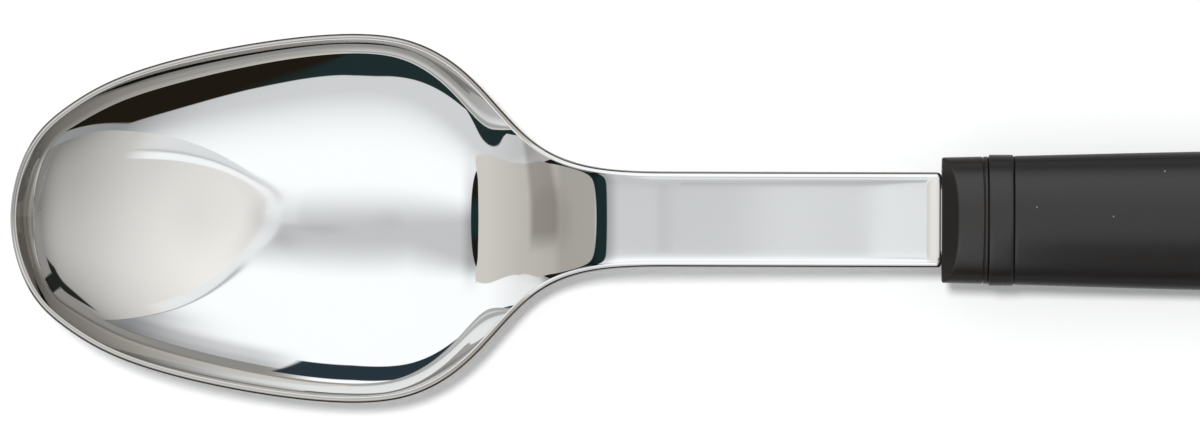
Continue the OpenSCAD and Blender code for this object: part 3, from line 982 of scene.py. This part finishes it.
# %% Tints and blacks
COOL_WHITE, CREAM, WARM_GREY = (0.965, 0.995, 1.025), (1.0, 0.99, 0.965), (1.0, 0.97, 0.93)
FLAG_TEAL, FLAG_BROWN, FLAG_BLUE = (0.018, 0.034, 0.036), (0.017, 0.013, 0.008), (0.028, 0.045, 0.060)
GAP_TEAL, GAP_BROWN = (0.014, 0.034, 0.036), (0.016, 0.013, 0.010)
SEAM_GREY, SEAM_SHARE, STAND_BLACK = (0.05, 0.05, 0.045), 0.4, (0.02, 0.024, 0.02)


def colour_mix(factor, a, b):
    """Mixes two colours, each a tuple or a socket, by a factor."""
    node = sky.nodes.new("ShaderNodeMix")
    node.data_type = "RGBA"
    value_of(node.inputs["Factor"], factor)
    for key, source in (("A", a), ("B", b)):
        value_of(node.inputs[key], source if hasattr(source, "is_output") else (*source, 1))
    return node.outputs["Result"]


tint = colour_mix(both(card_mask, less(1.0, hem)), COOL_WHITE, CREAM)
tint = colour_mix(calc("MAXIMUM", beyond, sill), tint, WARM_GREY)
room = sky.nodes.new("ShaderNodeVectorMath")
room.operation = "SCALE"
sky.links.new(tint, room.inputs[0])
sky.links.new(level, room.inputs["Scale"])
gap_colour = colour_mix(soft(v_size, 0.08, 0.3), GAP_TEAL, GAP_BROWN)
flag_colour = colour_mix(soft(u, 0.15, 0.4), FLAG_TEAL, FLAG_BROWN)
colour = room.outputs["Vector"]
for mask, dark in (
        (gap, gap_colour), (flag_low, flag_colour), (flag_high, FLAG_BLUE),
        (times(seam, SEAM_SHARE), SEAM_GREY), (stand, STAND_BLACK)):
    colour = colour_mix(mask, colour, dark)
print("dark parts laid over the room")

# %% World for camera, mirrors and soft surfaces
SOFT_SHARE = 0.6
ray = sky.nodes.new("ShaderNodeLightPath").outputs
background = sky.nodes.new("ShaderNodeBackground")
output = sky.nodes.new("ShaderNodeOutputWorld")
sky.links.new(colour_mix(ray["Is Camera Ray"], colour, (1, 1, 1)), background.inputs["Color"])
mirrored = calc("MAXIMUM", ray["Is Camera Ray"], ray["Is Glossy Ray"])
sky.links.new(plus(times(mirrored, 1 - SOFT_SHARE), SOFT_SHARE), background.inputs["Strength"])
sky.links.new(background.outputs["Background"], output.inputs["Surface"])
print("world nodes:", len(sky.nodes))

# %% [markdown]
# ## A grey card over the handle
# The lower flank of the handle is darker than the upper one, although both are the same plastic. A
# photographer gets this with a grey card held close beside the handle. It could be painted on the world
# too, but then the bowl would show it, so it is a real sheet that only the handle is near enough to see.
# The camera and the soft light pass through it.

# %% Grey card
def grey_felt():
    """Matt grey with a faint grain."""
    material, tree, shader, coords = fresh_material("card_grey")
    felt = stretched_noise(tree, coords, 400)
    tree.links.new(tinted(tree, felt, (0.30, 0.30, 0.30), (0.36, 0.36, 0.36)), shader.inputs["Base Color"])
    shader.inputs["Roughness"].default_value = 1.0
    shader.inputs["Specular IOR Level"].default_value = 0.0
    return material


CARD_X, CARD_Y, CARD_Z = (0.028, 0.14), (-0.09, -0.011), 0.052
grey_card = level_sheet("grey_card", CARD_X, CARD_Y, CARD_Z)
grey_card.data.materials.append(grey_felt())
grey_card.visible_camera = grey_card.visible_diffuse = grey_card.visible_shadow = False
print("grey card at z =", CARD_Z)

# %% [markdown]
# ## One soft key lamp
# The shadow lies just below and to the right of the spoon, so the key lamp stands nearly overhead, leaning
# to the upper side and to the tip. A wide lamp angle makes the edge of the shadow soft. The lamp isn't
# mirrored in the steel, because in the picture a tent hides it.

# %% Key lamp
KEY_STRENGTH, KEY_ANGLE, TO_LAMP = 1.9, math.radians(8), (-0.06, 0.13, 1.0)
lamp = bpy.data.objects.new("key_lamp", bpy.data.lights.new("key_lamp", "SUN"))
lamp.data.energy = KEY_STRENGTH
lamp.data.angle = KEY_ANGLE
lamp.visible_glossy = False
lamp.rotation_mode = "QUATERNION"
lamp.rotation_quaternion = Vector(TO_LAMP).to_track_quat("Z", "Y")
bpy.context.scene.collection.objects.link(lamp)
print("key lamp strength", lamp.data.energy)

# %% [markdown]
# ## Camera
# The picture looks straight down on the flat of the stem through a long lens, and crops the handle at the
# right. 1200 pixels cover 214.2 mm there. The camera stands three metres away, because a long distance
# keeps the outline free of perspective.

# %% Camera straight above the stem
PIXELS, MM_PER_PIXEL, SENSOR = 1200, 0.1785, 36.0
DISTANCE, ROLL, AIM = 3.0, math.radians(0.17), (105.5, -0.43, 0.0)
camera = bpy.data.objects.new("camera", bpy.data.cameras.new("camera"))
camera.data.sensor_width = SENSOR
camera.data.lens = SENSOR * DISTANCE / (PIXELS * MM_PER_PIXEL / 1000)
aim = at_rest(AIM)
right = spoon_x * math.cos(ROLL) + np.array([0, 1, 0]) * math.sin(ROLL)
up = np.cross(spoon_z, right)
place = Matrix.Identity(4)
for row in range(3):
    place[row][0], place[row][1], place[row][2] = right[row], up[row], spoon_z[row]
    place[row][3] = aim[row] + DISTANCE * spoon_z[row]
camera.matrix_world = place
bpy.context.scene.collection.objects.link(camera)
bpy.context.scene.camera = camera
bpy.context.scene.view_settings.view_transform = "Standard"
print(f"lens {camera.data.lens:.0f} mm")
